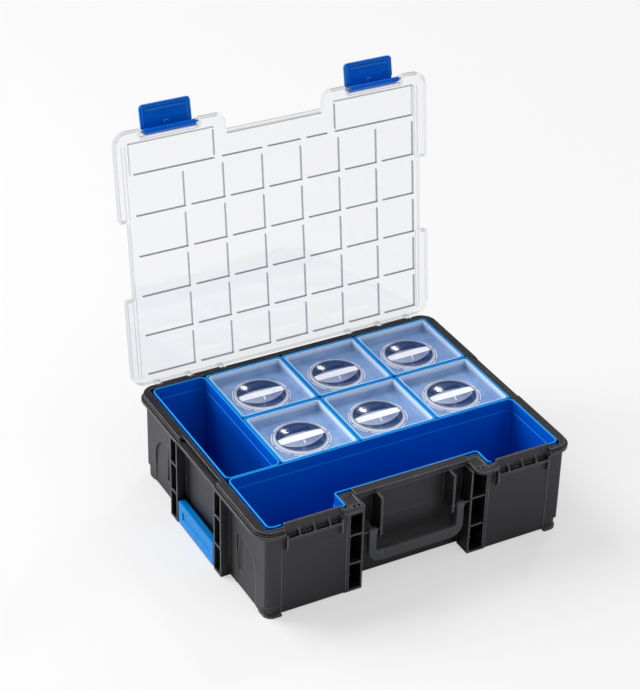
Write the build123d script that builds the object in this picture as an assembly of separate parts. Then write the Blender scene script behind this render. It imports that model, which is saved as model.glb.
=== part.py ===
from build123d import *
import os

os.makedirs("parts", exist_ok=True)

# Millimetres, +Z up, front and handle at -Y, origin under the centre of the base.
# Walls and fits
WALL = 2.4
SKIN = 2.0
RUN = 0.05
GAP = 0.4

# Plan of the case: bins stand on a grid, a box takes two modules and the long bin the rest
MODULE = 54.5
LEFT_BIN = 74.4
BLOCK_X = (6 * MODULE + LEFT_BIN) / 2
BLOCK_Y = 3 * MODULE
COLUMN_X = tuple(BLOCK_X - 2 * MODULE * n for n in (3, 2, 1))
STEP_X = 98.0
STEP_DEEP = 27.0
BIN_FLOOR = 5.0
BIN_RIM = 129.0
BIN_CORNER = 8.0

# Cutters reach past everything that they cut
AHEAD = -BLOCK_Y - 40
BESIDE = BLOCK_X + 30
ABOVE = BIN_RIM + 30

# Base walls
BASE_X = BLOCK_X + 5.3
BASE_FRONT = -BLOCK_Y - 5.1
BASE_REAR = BLOCK_Y + 7.7
BASE_CORNER = 5.0
FOOT_CORNER = 12.0
FOOT_TOP = 15.0
CAVITY_X = BLOCK_X + 1.9
CAVITY_FRONT = -BLOCK_Y - 1.7
CAVITY_REAR = BLOCK_Y + 4.3
CAVITY_CORNER = 5.0
SILL = 2.6
RECESS_X = STEP_X - 3.5
RECESS_Y = STEP_DEEP - BLOCK_Y - 5.0
CAVITY_RECESS_X = RECESS_X + WALL
CAVITY_RECESS_Y = RECESS_Y + WALL
POST_X = BASE_X - 21.0
FLOOR_X = BASE_X - 36.0
FLOOR_Y = BLOCK_Y - 43.5
FOOT_Y = BLOCK_Y - 13.5

# Rim of the base
RIM_TOP = BIN_RIM - 2.0
BEAD_X = BASE_X + 7.5
BEAD_FRONT = BASE_FRONT - 2.4
BEAD_LIP = 2.2
FLANGE_X = BASE_X + 11.5
FLANGE_FRONT = BASE_FRONT - 5.4
RIM_REAR = BASE_REAR + 4.2
FLANGE_TOP = RIM_TOP - 5.0
FLANGE_LOW = FLANGE_TOP - 3.5
PAD_X0 = RECESS_X - 17.1
PAD_X1 = RECESS_X + 12.5
PAD_FRONT = BASE_FRONT - 8.9
PAD_LOW = RIM_TOP - 3.5

# Handle, hanging in its recess
HANDLE_Y = BASE_FRONT + 6.1
HANDLE_Z = 78.5
HANDLE_PIN_R = 1.5
ARM_X = (55.6, 66.2)
HANDLE_T = 9.0
GRIP_X = 47.3
GRIP_Z = (32.7, 49.3)
CORE_Z = (35.6, 46.4)
CORE_T = 5.6

# Front ladder columns, handle recess with its cheeks, brow and hood
COLUMN_FACE = BASE_FRONT + 2.6
RAIL_IN = (RECESS_X - 20.0, RECESS_X - 18.0)
RAIL_OUT = (RECESS_X, RECESS_X + 4.0)
WEB_Z = (41.0, 83.0)
RAIL_TOP = RIM_TOP + 6.0
HOOD_TOP = RIM_TOP + 4.0
HOOD_X = PAD_X0 + 1.0
RAIL_FRONT = RECESS_Y - 9.5
CHEEK_X = (ARM_X[0] - 6.6, ARM_X[0] - 4.1)
CHEEK_Z = (HANDLE_Z - 6.9, RIM_TOP - 1.0)
BROW_Z = 80.0
BROW_T = 1.8

# Latch seats; the lip stands above the rim like the rail over the handle
SEAT_X0 = STEP_X + 8.5
SEAT_X1 = POST_X - 2.5
LIP_REAR = BASE_FRONT + 3.0
LIP_FRONT = BASE_FRONT + 1.0
BAR_FRONT = BASE_FRONT - 5.0
BAR_REAR = BAR_FRONT + 2.7
BAR_TOP = RIM_TOP - 13.2
BAR_LOW = BAR_TOP - 3.0
GUSSET_X = tuple(SEAT_X0 + 17.3 + 19.8 * n for n in range(3))

# Side ladders, side pockets and clips
SIDE_RAIL_0 = 52.5
SIDE_RAIL_1 = 72.0
BAY_DEEP = 1.6
POCKET_Y = (92.0, 143.0)
POCKET_TOP = 78.0
POCKET_DEEP = 2.6
SLOT_Y = (94.0, 109.0)
SLOT_DEEP = 2.8
CLIP_Y = SIDE_RAIL_0 - 2.5
CLIP_IN = BASE_X + 1.0
CLIP_OUT = FLANGE_X - 0.2
CLIP_TOP = 35.0
CLIP_LOW = 1.0
CLIP_AXIS_X = BASE_X + 6.6
CLIP_AXIS_Z = 28.0
CLIP_PIN_R = 1.5

# Lid hinge, lid and its rest lean (degrees open)
HINGE_Y = BASE_REAR + 6.3
HINGE_Z = RIM_TOP - 3.0
HINGE_PIN_R = 1.1
KNUCKLE_R = 2.4
LUG_R = 3.4
LUG_X = tuple(BLOCK_X - near for near in (106.3, 60.6, 16.8))
LUG_HALF = 3.5
LID_OPEN = 96.27
LID_X = FLANGE_X + 0.7
LID_REAR = HINGE_Y - 1.0
LID_FRONT = BASE_FRONT + 2.4
LID_NOTCH_X = ARM_X[1] + 1.4
LID_NOTCH_Y = RECESS_Y - 1.1
LID_STEP_X = BASE_X + 1.0
LID_STEP_Y = SIDE_RAIL_0 + 2.4
LID_TOP = RIM_TOP + 9.0
LID_PLATE = 2.5
LID_EDGE = RIM_TOP + GAP
LID_UNDER = LID_TOP - LID_PLATE
RIB_LOW = BIN_RIM + GAP
RIB_W = 1.4
RIB_BREAK = 9.0
RIB_X = tuple(COLUMN_X[0] - 2.2 + MODULE * n for n in range(7))
RIB_Y = tuple(BLOCK_Y + 0.1 - MODULE * n for n in range(6))

# Latches, drawn closed over their bars
LATCH_Y = LIP_REAR + 3.4
LATCH_Z = LID_TOP - 5.8
LATCH_R = 3.1
LATCH_PIN_R = 1.25
LATCH_OPEN = 95.1
LATCH_BAY = LATCH_Y + 6.8
BARREL_X = (SEAT_X0 + 1.5, SEAT_X1 - 4.5)
PLATE_X = (BARREL_X[0] + 0.6, BARREL_X[1] - 2.6)
PLATE_IN = BAR_FRONT - 1.2
PLATE_OUT = PLATE_IN - 2.4
PLATE_TIP = BAR_LOW - 10.3
HOOK_TIP = BAR_FRONT + 2.3
HOOK_TOP = BAR_LOW - 1.7

# Boxes and their tray lids
BOX_GAP = 0.2
LEDGE = 1.0
TRAY_Z = BIN_RIM - 15.6
TRAY_FLOOR = 1.8
TRAY_SEAT = TRAY_Z + TRAY_FLOOR
TRAY_TOP = BIN_RIM - 0.6
TRAY_WALL = 1.4

# Knobs: a dished ring on the tray, with a neck through it and a retainer below
RING_TOP = TRAY_SEAT + 3.0
RING_LOW = TRAY_SEAT + 0.1
RING_R = 33.6
SKIRT_R = 35.2
NECK_R = 30.0
NECK_IN = 28.2
NECK_LOW = TRAY_Z - 2.2
DISH_R = 31.2
DISH_DEEP = 5.3
DISH_BALL = (DISH_R ** 2 + DISH_DEEP ** 2) / (2 * DISH_DEEP)
WEB_MID = 7.8
WEB_END = 5.6
MARK_R = 37.0
RETAINER_R = 34.0


def span(x0, x1, y0, y1, z0, z1):
    centre = ((x0 + x1) / 2, (y0 + y1) / 2, (z0 + z1) / 2)
    return Pos(*centre) * Box(abs(x1 - x0), abs(y1 - y0), abs(z1 - z0))


def rounded(x0, x1, y0, y1, r):
    return Pos((x0 + x1) / 2, (y0 + y1) / 2) * RectangleRounded(x1 - x0, y1 - y0, r)


def slab(face, z0, z1):
    return Pos(0, 0, z0) * extrude(face, z1 - z0)


def cross(points, x0, x1):
    face = Plane.YZ * make_face(Polyline(*points, close=True))
    return Pos(x0, 0, 0) * extrude(face, x1 - x0)


def rod_x(x0, x1, y, z, r):
    return Pos((x0 + x1) / 2, y, z) * Rot(0, 90, 0) * Cylinder(r, x1 - x0)


def rod_y(y0, y1, x, z, r):
    return Pos(x, (y0 + y1) / 2, z) * Rot(90, 0, 0) * Cylinder(r, y1 - y0)


def both(shape):
    return shape + mirror(shape, about=Plane.YZ)


def four(shape):
    pair = both(shape)
    return pair + mirror(pair, about=Plane.XZ)


def on_side(shape, side):
    return mirror(shape, about=Plane.YZ) if side == "left" else shape


# Base tub

def cavity():
    plan = rounded(-CAVITY_X, CAVITY_X, CAVITY_FRONT, CAVITY_REAR, CAVITY_CORNER)
    room = slab(plan, BIN_FLOOR, ABOVE)
    return room - span(-CAVITY_RECESS_X, CAVITY_RECESS_X, AHEAD, CAVITY_RECESS_Y, 0, ABOVE)


def base_walls():
    plan = rounded(-BASE_X, BASE_X, BASE_FRONT, BASE_REAR, BASE_CORNER)
    foot = rounded(-BASE_X, BASE_X, BASE_FRONT, BASE_REAR, FOOT_CORNER)
    body = slab(foot, SILL, FOOT_TOP) + slab(plan, FOOT_TOP, RIM_TOP)
    body -= span(-RECESS_X, RECESS_X, AHEAD, RECESS_Y, 0, ABOVE)
    body -= both(span(RAIL_OUT[1], POST_X, AHEAD, LIP_FRONT, 0, ABOVE))
    body -= both(span(BASE_X - BAY_DEEP, BESIDE, -SIDE_RAIL_0, SIDE_RAIL_0, 0, FLANGE_LOW))
    body += four(slab(foot, 0, SILL) & span(POST_X, BESIDE, FOOT_Y, -AHEAD, 0, SILL))
    body += span(-FLOOR_X, FLOOR_X, -FLOOR_Y, FLOOR_Y, 0, SILL)
    return body - span(-FLOOR_X + WALL, FLOOR_X - WALL, -FLOOR_Y + WALL, FLOOR_Y - WALL, WALL, BIN_FLOOR)


def floor_ribs():
    ribs = span(-FLOOR_X + 2, FLOOR_X - 2, -1, 1, WALL - 0.2, BIN_FLOOR)
    for y in (-MODULE, MODULE):
        ribs += span(-FLOOR_X + 2, FLOOR_X - 2, y - 2, y + 2, WALL - 0.2, BIN_FLOOR)
    for n in range(6):
        x = COLUMN_X[0] + MODULE * n
        ribs += span(x - 2, x + 2, -FLOOR_Y + 2, FLOOR_Y - 2, WALL - 0.2, BIN_FLOOR)
    return ribs


def rim():
    bead = rounded(-BEAD_X, BEAD_X, BEAD_FRONT, RIM_REAR, 20)
    bead_in = offset(bead, -BEAD_LIP)
    flange = rounded(-FLANGE_X, FLANGE_X, FLANGE_FRONT, RIM_REAR, 22)
    flange_in = offset(flange, -BEAD_LIP)
    ring = slab(bead, RIM_TOP - BEAD_LIP, RIM_TOP)
    ring += slab(bead - bead_in, FLANGE_TOP - BEAD_LIP, RIM_TOP - BEAD_LIP)
    ring += slab(flange - bead_in, FLANGE_TOP - BEAD_LIP, FLANGE_TOP)
    ring += slab(flange - flange_in, FLANGE_LOW, FLANGE_TOP - BEAD_LIP)
    half = SIDE_RAIL_0 + 1
    ring += both(span(BASE_X - 3, FLANGE_X - 1, -half, half, FLANGE_TOP - BEAD_LIP, FLANGE_TOP))
    ring -= both(span(FLANGE_X - 1, BESIDE, -SIDE_RAIL_0, SIDE_RAIL_0, FLANGE_LOW - 1, ABOVE))
    ring -= both(span(LID_STEP_X + 1, BESIDE, -SIDE_RAIL_0, SIDE_RAIL_0, FLANGE_TOP, ABOVE))
    ring -= span(-PAD_X1, PAD_X1, AHEAD, LIP_REAR + 5, FLANGE_LOW - 1, ABOVE)
    ring -= span(-RECESS_X, RECESS_X, AHEAD, RECESS_Y, FLANGE_LOW - 1, ABOVE)
    return ring - both(span(SEAT_X0, SEAT_X1, AHEAD, LIP_REAR, FLANGE_LOW - 1, ABOVE))


def pads():
    middle = Pos((PAD_X0 + PAD_X1) / 2, (PAD_FRONT + RECESS_Y) / 2)
    plan = middle * Rectangle(PAD_X1 - PAD_X0, RECESS_Y - PAD_FRONT)
    inner = plan.vertices().group_by(Axis.Y)[0].sort_by(Axis.X)[0]
    plan = fillet(inner, 10)
    plan = fillet(plan.vertices().sort_by_distance((PAD_X1, PAD_FRONT, 0))[0], 3)
    pad = slab(plan, PAD_LOW, RIM_TOP)
    pad -= span(PAD_X0 + 2.5, PAD_X1 - 4, PAD_FRONT + 15, RECESS_Y - 2, RIM_TOP - 0.8, RIM_TOP + 1)
    for n in range(4):
        x = PAD_X0 + 5.0 + 6.4 * n
        pad -= span(x - 2.2, x + 2.2, PAD_FRONT + 8.5, PAD_FRONT + 13, PAD_LOW + 0.9, RIM_TOP + 1)
    return pad


def front_ladder():
    rails = span(*RAIL_IN, COLUMN_FACE, RECESS_Y, 0, PAD_LOW)
    rails += span(*RAIL_OUT, COLUMN_FACE, RECESS_Y, 0, PAD_LOW)
    for z in WEB_Z:
        rails += span(RAIL_IN[0], RAIL_OUT[1], COLUMN_FACE, RECESS_Y, z - 1, z + 1)
    rails += span(RAIL_IN[0], RAIL_OUT[1], COLUMN_FACE, RECESS_Y, 0, WALL)
    rails -= rod_x(RAIL_IN[0] - 1, RAIL_IN[1] + 1, HANDLE_Y, HANDLE_Z, HANDLE_PIN_R)
    return rails


def handle_recess():
    hood = span(-HOOD_X, HOOD_X, RAIL_FRONT, CAVITY_RECESS_Y, RIM_TOP - 3, HOOD_TOP)
    inner = RAIL_IN[0] - WALL
    hood -= span(-inner, inner, RAIL_FRONT + WALL, RECESS_Y, RIM_TOP - 7, HOOD_TOP - WALL)
    hood -= span(2, 4, RAIL_FRONT - 1, RAIL_FRONT + 4, HOOD_TOP - 1.2, HOOD_TOP + 1)
    cheek = span(*CHEEK_X, COLUMN_FACE, RECESS_Y, *CHEEK_Z)
    cheek -= rod_x(CHEEK_X[0] - 1, CHEEK_X[1] + 1, HANDLE_Y, HANDLE_Z, HANDLE_PIN_R)
    brow = cross([(RECESS_Y + 1, BROW_Z - BROW_T), (RECESS_Y, BROW_Z - BROW_T), (RECESS_Y - BROW_T, BROW_Z),
                  (RECESS_Y - BROW_T, RIM_TOP - 1), (RECESS_Y + 1, RIM_TOP - 1)], -RAIL_IN[0], RAIL_IN[0])
    return hood + both(cheek) + brow


def latch_seat():
    low = BAR_TOP - 21.8
    sole = LIP_FRONT - 2.9
    lip = span(SEAT_X0, SEAT_X1, LIP_FRONT, LIP_REAR, low - 2, RAIL_TOP)
    lip += cross([(LIP_REAR, low), (LIP_FRONT, low), (sole, BAR_TOP - 3.8), (sole, BAR_TOP - 0.8),
                  (LIP_REAR, BAR_TOP - 0.8)], SEAT_X0 + 1, SEAT_X1 - 1)
    lip += span(SEAT_X0 + 1, SEAT_X1 - 1, BAR_FRONT, LIP_FRONT, BAR_TOP - 2.6, BAR_TOP)
    lip += span(SEAT_X0 + 1, SEAT_X1 - 1, BAR_FRONT, BAR_REAR, BAR_LOW, BAR_TOP)
    for x in GUSSET_X:
        lip += cross([(LIP_REAR, BAR_TOP + 8.7), (LIP_FRONT, BAR_TOP + 8.7), (BAR_FRONT + 0.6, BAR_TOP),
                      (LIP_REAR, BAR_TOP)], x - 0.9, x + 0.9)
    for x in (SEAT_X0 + 1.5, SEAT_X1 - 2.0):
        lip += cross([(LIP_REAR, low), (sole - 0.5, low + 4), (BAR_FRONT - 0.8, low + 9),
                      (BAR_FRONT - 0.8, FLANGE_LOW), (LIP_REAR, FLANGE_LOW)], x - 1, x + 1)
    return lip


def side_ladder():
    rails = span(BASE_X - 2, FLANGE_X, SIDE_RAIL_0, SIDE_RAIL_0 + 2, 0, FLANGE_TOP - BEAD_LIP)
    rails += span(BASE_X - 2, FLANGE_X, SIDE_RAIL_1 - 2, SIDE_RAIL_1, 0, FLANGE_TOP - BEAD_LIP)
    for z in WEB_Z:
        rails += span(BASE_X - 1, FLANGE_X, SIDE_RAIL_0, SIDE_RAIL_1, z - 1, z + 1)
    rails += span(BASE_X - 1, FLANGE_X, SIDE_RAIL_0, SIDE_RAIL_1, 0, WALL)
    rails -= rod_y(SIDE_RAIL_0 - 1, SIDE_RAIL_0 + 3, CLIP_AXIS_X, CLIP_AXIS_Z, CLIP_PIN_R)
    return rails


def side_pocket():
    near, far = POCKET_Y
    bend = POCKET_TOP - 36
    edge = Polyline((far, 0), (near, 0), (near, POCKET_TOP), (far - 31, POCKET_TOP))
    edge += ThreePointArc((far - 31, POCKET_TOP), (far - 8.5, POCKET_TOP - 12), (far, bend))
    edge += Line((far, bend), (far, 0))
    arch = Pos(BASE_X - POCKET_DEEP, 0, 0) * extrude(Plane.YZ * make_face(edge), 12)
    slope = Plane.XZ * make_face(Polyline(
        (BASE_X - POCKET_DEEP, POCKET_TOP), (BASE_X - 0.6, 0), (BASE_X + 9, 0), (BASE_X + 9, POCKET_TOP),
        close=True))
    pocket = arch & extrude(slope, AHEAD)
    return pocket + span(BASE_X - SLOT_DEEP, BASE_X + 9, *SLOT_Y, 24, POCKET_TOP)


def rear_hinge():
    bar = None
    for x0, x1 in ((LUG_X[0], LUG_X[1]), (LUG_X[1], LUG_X[2])):
        start = x0 + LUG_HALF + GAP
        end = x1 - LUG_HALF - GAP
        piece = rod_x(start, end, HINGE_Y, HINGE_Z, KNUCKLE_R)
        piece += span(start, end, RIM_REAR - 3, HINGE_Y, HINGE_Z - KNUCKLE_R, HINGE_Z + KNUCKLE_R)
        bar = piece if bar is None else bar + piece
    return bar


def rear_ribs():
    ribs = None
    for x in range(-150, 151, 60):
        rib = span(x - 1, x + 1, BASE_REAR - 1, BASE_REAR + 2.6, 12, FLANGE_LOW + 0.5)
        ribs = rib if ribs is None else ribs + rib
    return ribs


def base_tub():
    base = base_walls() + floor_ribs() + rim()
    base += both(pads()) + both(front_ladder()) + handle_recess()
    base += both(latch_seat()) + four(side_ladder()) + both(rear_hinge()) + rear_ribs()
    base -= four(side_pocket())
    for x in LUG_X:
        base -= both(span(x - LUG_HALF - GAP, x + LUG_HALF + GAP, HINGE_Y - 4.5, HINGE_Y + 12, 110, 140))
    base -= both(rod_x(LUG_X[0], LUG_X[2], HINGE_Y, HINGE_Z, HINGE_PIN_R))
    return base - cavity()


# Lid, drawn closed and turned open at the end

def lid_plan():
    plan = rounded(-LID_X, LID_X, LID_FRONT, LID_REAR, 18)
    step = Pos(LID_STEP_X + 12, 0) * RectangleRounded(24, 2 * LID_STEP_Y, 4)
    plan -= step
    plan -= mirror(step, about=Plane.YZ)
    plan -= Pos(0, LID_NOTCH_Y - 50) * RectangleRounded(2 * LID_NOTCH_X, 100, 4)
    tips = plan.vertices().filter_by(lambda v: abs(abs(v.X) - LID_NOTCH_X) < 0.1
                                     and abs(v.Y - LID_FRONT) < 0.1)
    return fillet(tips, 14)


def lid_ribs():
    ribs = None
    for y in RIB_Y:
        starts = (2.7 - BLOCK_X,) + tuple(x + RIB_BREAK for x in RIB_X[:-1])
        for x0, x1 in zip(starts, RIB_X):
            rib = span(x0, x1 + RIB_W / 2, y - RIB_W / 2, y + RIB_W / 2, RIB_LOW, LID_UNDER + 0.5)
            ribs = rib if ribs is None else ribs + rib
    for x in RIB_X:
        for rear, front in zip(RIB_Y[:-1], RIB_Y[1:]):
            ribs += span(x - RIB_W / 2, x + RIB_W / 2, front + RIB_BREAK, rear, RIB_LOW, LID_UNDER + 0.5)
    return ribs


def tab_frame():
    x0, x1, y = 84.3, BLOCK_X - 2.7, 13.5 - BLOCK_Y
    frame = span(x0, x0 + RIB_W, y, RIB_Y[-1], RIB_LOW, LID_UNDER + 0.5)
    frame += span(x0, x1 + RIB_W, y, y + RIB_W, RIB_LOW, LID_UNDER + 0.5)
    return frame + span(x1, x1 + RIB_W, y, RIB_Y[-1], RIB_LOW, LID_UNDER + 0.5)


def lid_lugs():
    lugs = None
    for x in LUG_X:
        arm = [(HINGE_Y - LUG_R, HINGE_Z), (HINGE_Y - LUG_R, LID_TOP - 1), (LID_REAR, LID_TOP - 1),
               (HINGE_Y + LUG_R, HINGE_Z + 2.5), (HINGE_Y + LUG_R, HINGE_Z)]
        lug = cross(arm, x - LUG_HALF, x + LUG_HALF)
        lug += rod_x(x - LUG_HALF, x + LUG_HALF, HINGE_Y, HINGE_Z, LUG_R)
        lugs = lug if lugs is None else lugs + lug
    lugs -= rod_x(LUG_X[0] - 9, LUG_X[2] + 9, HINGE_Y, HINGE_Z, HINGE_PIN_R + RUN)
    return lugs


def latch_lugs():
    lugs = None
    for x0, x1 in ((BARREL_X[0] - 4, BARREL_X[0] - 0.3), (BARREL_X[1] + 0.3, BARREL_X[1] + 4)):
        lug = rod_x(x0, x1, LATCH_Y, LATCH_Z, 2.8)
        lug += span(x0, x1, LATCH_Y - 2.8, LATCH_BAY, LATCH_Z, LID_TOP - 1)
        lugs = lug if lugs is None else lugs + lug
    return lugs


def lid_cover():
    plan = lid_plan()
    lid = slab(plan, LID_UNDER, LID_TOP)
    lid += slab(plan - offset(plan, -LID_PLATE, kind=Kind.INTERSECTION), LID_EDGE, LID_UNDER)
    lid -= span(-HOOD_X - GAP, HOOD_X + GAP, AHEAD, RECESS_Y + 1.5, LID_EDGE - 1, HOOD_TOP + GAP)
    back = CAVITY_RECESS_Y + GAP
    lid += span(-66, 66, back, back + 1.6, RIB_LOW, LID_UNDER + 0.5)
    lid += lid_ribs() + both(tab_frame())
    lid -= both(span(BARREL_X[0] - 0.3, BARREL_X[1] + 0.3, AHEAD, LATCH_BAY, LID_EDGE - 1, ABOVE))
    lid -= both(span(BARREL_X[0] - 4, BARREL_X[1] + 4, AHEAD, LATCH_BAY - 0.1, LID_EDGE - 1, LID_UNDER))
    lid -= both(span(SEAT_X0 - GAP, SEAT_X1 + GAP, AHEAD, LIP_REAR + GAP, LID_EDGE - 1, ABOVE))
    lid += both(latch_lugs()) + both(lid_lugs())
    lid -= both(rod_x(BARREL_X[0] - 3, BARREL_X[1] + 3, LATCH_Y, LATCH_Z, LATCH_PIN_R))
    return lid


def hinge_pin():
    return rod_x(LUG_X[0] - 3, LUG_X[2] + 3, HINGE_Y, HINGE_Z, HINGE_PIN_R)


def open_lid(shape):
    return shape.rotate(Axis((0, HINGE_Y, HINGE_Z), (1, 0, 0)), -LID_OPEN)


# Latch, drawn closed over its bar

def latch():
    body = rod_x(*BARREL_X, LATCH_Y, LATCH_Z, LATCH_R)
    top = LID_TOP - 0.2
    body += cross([(LATCH_Y + 1.2, top - 3.6), (LATCH_Y + 1.2, top - 2.4), (LATCH_Y - 1, top),
                   (PLATE_OUT + 2, top), (PLATE_OUT, top - 2), (PLATE_OUT, top - 2.5),
                   (LATCH_Y - 2.4, top - 2.5), (LATCH_Y - 2.4, top - 4.8)], *PLATE_X)
    plate = Plane.XZ * (Pos(sum(PLATE_X) / 2, (PLATE_TIP + top - 1.8) / 2)
                        * RectangleRounded(PLATE_X[1] - PLATE_X[0], top - 1.8 - PLATE_TIP, 4))
    body += Pos(0, PLATE_IN, 0) * extrude(plate, PLATE_IN - PLATE_OUT)
    body += span(*PLATE_X, PLATE_OUT, PLATE_IN, top - 10.8, top - 2)
    body += span(PLATE_X[0] + 7.4, PLATE_X[1] - 7.4, PLATE_IN, HOOK_TIP, HOOK_TOP - 2, HOOK_TOP)
    body -= rod_x(BARREL_X[0] - 1, BARREL_X[1] + 1, LATCH_Y, LATCH_Z, LATCH_PIN_R + RUN)
    return body


def latch_pin():
    return rod_x(BARREL_X[0] - 3, BARREL_X[1] + 3, LATCH_Y, LATCH_Z, LATCH_PIN_R)


def open_latch(shape):
    return open_lid(shape.rotate(Axis((0, LATCH_Y, LATCH_Z), (1, 0, 0)), -LATCH_OPEN))


# Handle

def handle_bail():
    outer = Pos(0, (GRIP_Z[0] + HANDLE_Z) / 2) * Rectangle(2 * ARM_X[1], HANDLE_Z - GRIP_Z[0])
    outer = fillet(outer.vertices().group_by(Axis.Y)[0], 17)
    inner = Pos(0, (GRIP_Z[1] + HANDLE_Z) / 2 + 5) * Rectangle(2 * ARM_X[0], HANDLE_Z - GRIP_Z[1] + 10)
    inner = fillet(inner.vertices().group_by(Axis.Y)[0], 4)
    loop = extrude(Plane.XZ * (outer - inner), HANDLE_T / 2, both=True)
    loop = Pos(0, HANDLE_Y, 0) * loop
    loop += both(rod_x(*ARM_X, HANDLE_Y, HANDLE_Z, HANDLE_T / 2))
    loop -= span(-GRIP_X, GRIP_X, AHEAD, -100, 20, 60)
    loop += span(-GRIP_X - 1, GRIP_X + 1, HANDLE_Y - CORE_T / 2, HANDLE_Y + CORE_T / 2, *CORE_Z)
    return loop - both(rod_x(ARM_X[0] - 1, ARM_X[1] + 1, HANDLE_Y, HANDLE_Z, HANDLE_PIN_R + RUN))


def handle_pin():
    return rod_x(CHEEK_X[0], RAIL_IN[1], HANDLE_Y, HANDLE_Z, HANDLE_PIN_R)


def handle_grip():
    face = Plane.YZ * (Pos(HANDLE_Y, sum(GRIP_Z) / 2) * RectangleRounded(HANDLE_T, GRIP_Z[1] - GRIP_Z[0], 3))
    sleeve = extrude(face, GRIP_X - RUN, both=True)
    return sleeve - span(-60, 60, HANDLE_Y - CORE_T / 2 - RUN, HANDLE_Y + CORE_T / 2 + RUN,
                         CORE_Z[0] - RUN, CORE_Z[1] + RUN)


# Side clip

def side_clip():
    face = Plane.XZ * make_face(Polyline(
        (CLIP_IN, CLIP_LOW + 3), (CLIP_IN, CLIP_TOP - 3), (CLIP_IN + 2, CLIP_TOP), (CLIP_OUT - 1.5, CLIP_TOP),
        (CLIP_OUT, CLIP_TOP - 2), (CLIP_OUT, CLIP_LOW), (CLIP_IN + 1, CLIP_LOW), close=True))
    clip = extrude(face, CLIP_Y, both=True)
    clip -= span(CLIP_OUT - 1.6, CLIP_OUT + 5, -32, 32, 10, 20)
    clip -= Pos(CLIP_OUT, 0, CLIP_TOP + 56) * Rot(0, 90, 0) * Cylinder(60, 40)
    return clip - rod_y(-CLIP_Y - 1, CLIP_Y + 1, CLIP_AXIS_X, CLIP_AXIS_Z, CLIP_PIN_R + RUN)


def clip_pin():
    return rod_y(-SIDE_RAIL_0 - 2, SIDE_RAIL_0 + 2, CLIP_AXIS_X, CLIP_AXIS_Z, CLIP_PIN_R)


# Bins, boxes, trays and knobs

def hollow(outer, inner):
    below = offset(inner, -LEDGE, kind=Kind.INTERSECTION)
    room = slab(below, BIN_FLOOR + SKIN, TRAY_Z + 1) + slab(inner, TRAY_Z, BIN_RIM + 5)
    return slab(outer, BIN_FLOOR, BIN_RIM) - room


def bin_left():
    x0, x1 = -BLOCK_X, COLUMN_X[0] - 2 * BOX_GAP
    y0, y1 = -MODULE + 2 * BOX_GAP, BLOCK_Y
    return hollow(rounded(x0, x1, y0, y1, BIN_CORNER),
                  rounded(x0 + SKIN, x1 - SKIN, y0 + SKIN, y1 - SKIN, BIN_CORNER - SKIN))


def wing_corners(plan, x, y, r):
    tips = plan.vertices().filter_by(lambda v: abs(abs(v.X) - x) < 0.1 and abs(v.Y - y) < 0.1)
    return fillet(tips, r)


def bin_front():
    y0, y1 = -BLOCK_Y, -MODULE
    outer = rounded(-BLOCK_X, BLOCK_X, y0, y1, BIN_CORNER)
    outer -= Pos(0, y0) * RectangleRounded(2 * STEP_X, 2 * STEP_DEEP, 4 - SKIN)
    outer = wing_corners(outer, STEP_X, y0, 5)
    inner = rounded(-BLOCK_X + SKIN, BLOCK_X - SKIN, y0 + SKIN, y1 - SKIN, BIN_CORNER - SKIN)
    inner -= Pos(0, y0) * RectangleRounded(2 * (STEP_X + SKIN), 2 * (STEP_DEEP + SKIN), 4)
    inner = wing_corners(inner, STEP_X + SKIN, y0 + SKIN, 3)
    return hollow(outer, inner) - both(span(SEAT_X0 - 3.5, SEAT_X1 + 0.5, -170, -158, BIN_RIM - 4.5, 140))


def box_at(x, y):
    half = MODULE - BOX_GAP
    inner = half - SKIN
    return hollow(rounded(x - half, x + half, y - half, y + half, 3),
                  rounded(x - inner, x + inner, y - inner, y + inner, 2.4))


def dial_marks():
    marks = slab(Circle(MARK_R + 0.5) - Circle(MARK_R - 0.5), TRAY_SEAT - 0.2, TRAY_SEAT + 0.6)
    for n in range(8):
        marks -= Rot(0, 0, 45 * n) * span(MARK_R - 2, MARK_R + 2, -2, 2, TRAY_Z, TRAY_TOP)
    return marks


def tray_lid(x, y):
    half = MODULE - SKIN - 2 * BOX_GAP
    room = half - TRAY_WALL
    tray = slab(rounded(x - half, x + half, y - half, y + half, 2.2), TRAY_Z, TRAY_TOP)
    tray -= slab(rounded(x - room, x + room, y - room, y + room, 1.6), TRAY_SEAT, TRAY_TOP + 5)
    tray += Pos(x, y, 0) * dial_marks()
    return tray - Pos(x, y, TRAY_Z) * Cylinder(NECK_R + RUN, 20)


def knob_dish():
    floor = RING_TOP - DISH_DEEP
    half_way = floor + DISH_BALL - (DISH_BALL ** 2 - DISH_R ** 2 / 4) ** 0.5
    edge = ThreePointArc((0, floor), (DISH_R / 2, half_way), (DISH_R, RING_TOP))
    edge += Polyline((DISH_R, RING_TOP), (RING_R, RING_TOP), (SKIRT_R, RING_LOW), (NECK_R, RING_LOW),
                     (NECK_R, NECK_LOW), (NECK_IN, NECK_LOW), (NECK_IN, floor + 2.2),
                     (NECK_IN / 2, floor - 0.4), (2, floor - 1.4), (0, floor - 1.4), (0, floor))
    return revolve(Plane.XZ * make_face(edge), Axis.Z)


def grip_plan():
    near = ThreePointArc((-DISH_R, -WEB_END), (0, -WEB_MID), (DISH_R, -WEB_END))
    far = ThreePointArc((DISH_R, WEB_END), (0, WEB_MID), (-DISH_R, WEB_END))
    right = Line((DISH_R, -WEB_END), (DISH_R, WEB_END))
    left = Line((-DISH_R, WEB_END), (-DISH_R, -WEB_END))
    return make_face(near + right + far + left) & Circle(DISH_R + 0.6)


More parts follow.
